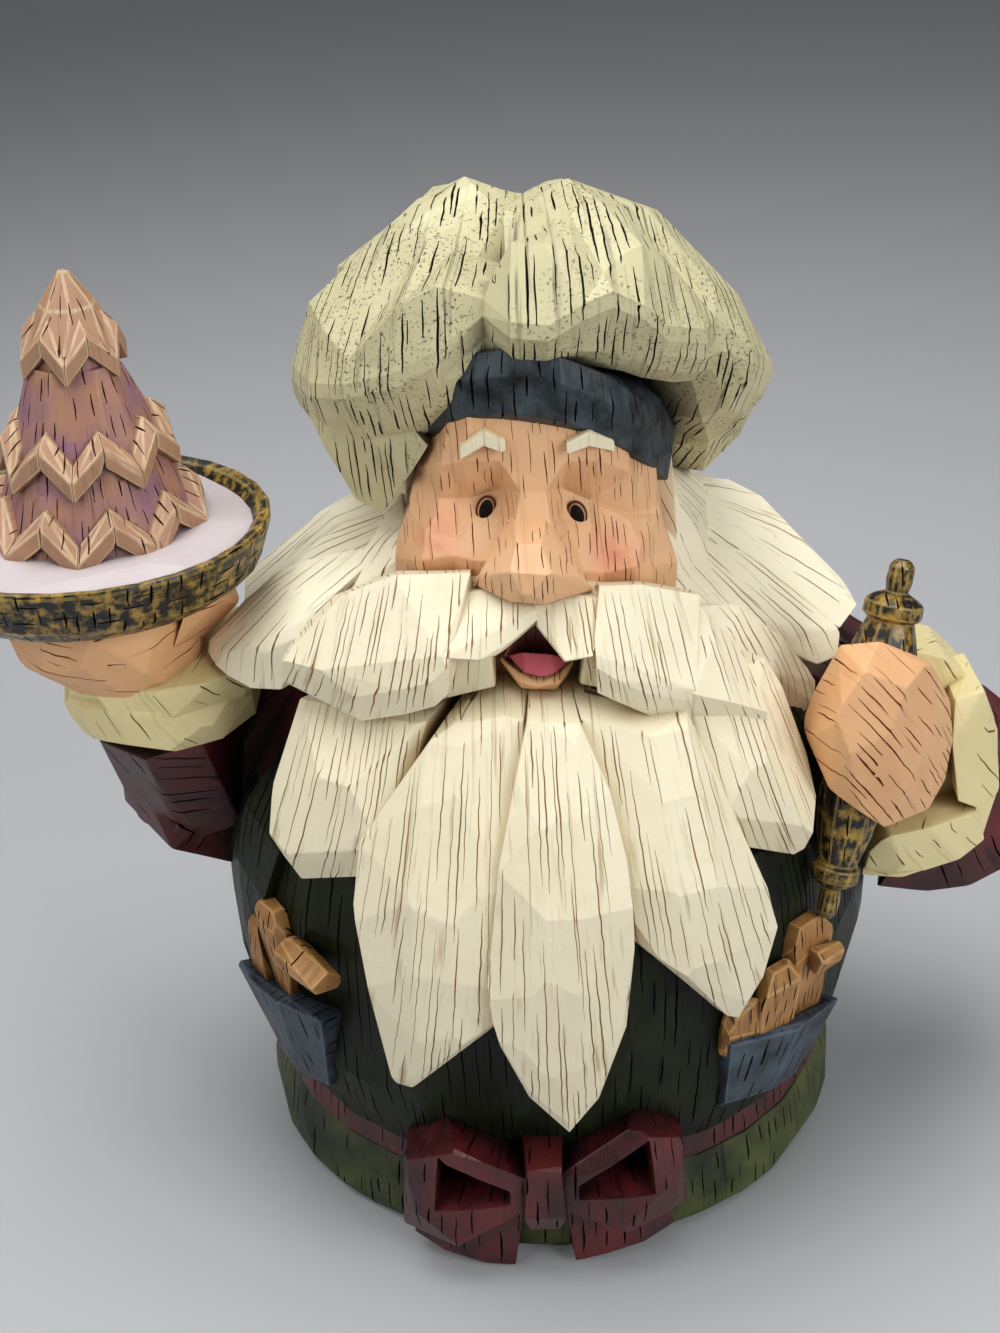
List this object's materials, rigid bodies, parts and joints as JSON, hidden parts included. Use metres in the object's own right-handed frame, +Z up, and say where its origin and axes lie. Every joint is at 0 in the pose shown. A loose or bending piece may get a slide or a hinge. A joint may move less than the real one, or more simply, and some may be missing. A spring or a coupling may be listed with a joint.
{
  "type": "santa figurine",
  "caption": "Carved-look cast santa ornament in a puffed baker's hat, with a long parted beard, a dish of tiered cake on one palm and a rolling pin in the other fist.",
  "frame": {"origin": "centre of the flat round underside of the coat's hem, on the surface that the figure stands on", "axes": "+Z up; -Y is the way the figure faces, with the beard and the bow; +X is to the side of the fist with the rolling pin, and the dish is on the -X side"},
  "size_m": [0.2236, 0.1415, 0.2019],
  "materials": {
    "hat_cream": "satin",
    "hat_band": "satin",
    "skin": "satin",
    "face_paint": "satin",
    "beard_white": "satin",
    "dungaree_green": "satin",
    "hem_moss": "satin",
    "shirt_maroon": "satin",
    "cuff_cream": "satin",
    "pocket_blue": "satin",
    "gingerbread": "satin",
    "dish_gold": "satin",
    "icing_white": "satin",
    "cake_mauve": "satin",
    "icing_tan": "satin"
  },
  "bodies": {
    "root": {"figure": "dungaree_green", "cake_dish": "dish_gold", "rolling_pin": "dish_gold"}
  },
  "joints": []
}
